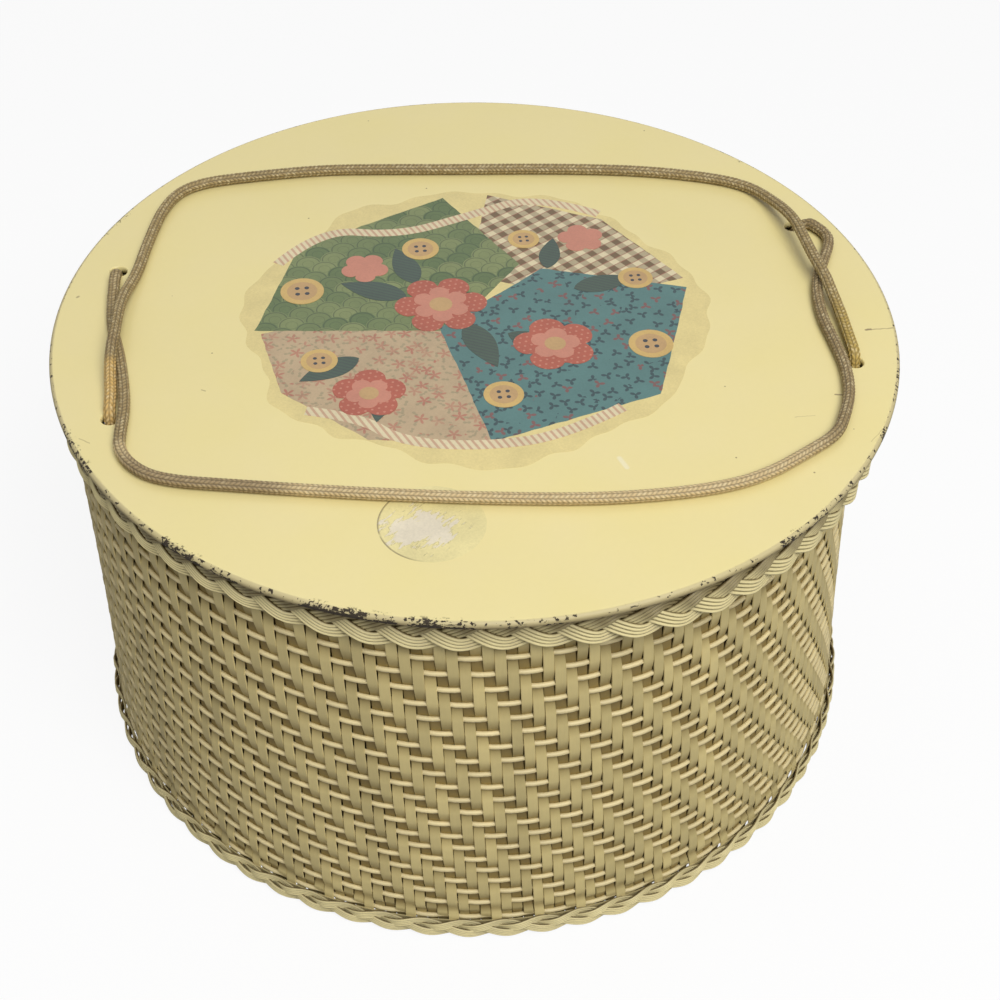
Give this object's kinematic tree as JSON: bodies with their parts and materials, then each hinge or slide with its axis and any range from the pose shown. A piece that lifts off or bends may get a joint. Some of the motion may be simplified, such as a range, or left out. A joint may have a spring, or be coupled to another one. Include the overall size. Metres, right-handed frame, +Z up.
{
  "type": "sewing basket",
  "caption": "Round woven sewing basket with a flat loose lid and braided cord loop handles that pass through holes in the lid.",
  "frame": {"origin": "on the floor, under the centre of the round lid", "axes": "+Z up, -Y towards the front, +X to the right; the cord holes of each handle lie side by side along X"},
  "size_m": [0.3072, 0.3072, 0.1809],
  "materials": {
    "woven_straw": "dry matt straw strips, slightly faded",
    "plaited_straw": "dry matt straw plait",
    "painted_board": "pale yellow satin paint on dark hardboard, chipped at the edge",
    "bare_board": "bare brown board",
    "braided_cord": "braided cord, faded from gold to taupe",
    "steel_wire": "plain wire"
  },
  "bodies": {
    "basket": {"wall_weave": "woven_straw", "wall_floats": "woven_straw", "rim_braid_1": "plaited_straw", "rim_braid_2": "plaited_straw", "rim_braid_3": "plaited_straw", "foot_braid_1": "plaited_straw", "foot_braid_2": "plaited_straw", "foot_braid_3": "plaited_straw", "base_board": "bare_board", "cord_leg_front_left": "braided_cord", "cord_leg_front_right": "braided_cord", "cord_leg_rear_left": "braided_cord", "cord_leg_rear_right": "braided_cord", "cord_knots": "braided_cord", "cord_staples": "steel_wire"},
    "lid": {"lid_panel": "painted_board"},
    "handle_rear": {"handle_cord_rear": "braided_cord"},
    "handle_front": {"handle_cord_front": "braided_cord"}
  },
  "joints": [
    {"name": "lid_lift", "type": "slide", "parent": "basket", "child": "lid", "axis": [0, 0, 1], "range_m": [0, 0.15], "deforming": ["cord_leg_front_left", "cord_leg_front_right", "cord_leg_rear_left", "cord_leg_rear_right"]},
    {"name": "handle_rear_lift", "type": "hinge", "parent": "lid", "child": "handle_rear", "pos_m": [0, 0.0427, 0.1703], "axis": [-1, 0, 0], "range_deg": [0, 90], "deforming": ["handle_cord_rear"]},
    {"name": "handle_front_lift", "type": "hinge", "parent": "lid", "child": "handle_front", "pos_m": [0, -0.0427, 0.1703], "axis": [1, 0, 0], "range_deg": [0, 90], "deforming": ["handle_cord_front"]}
  ]
}
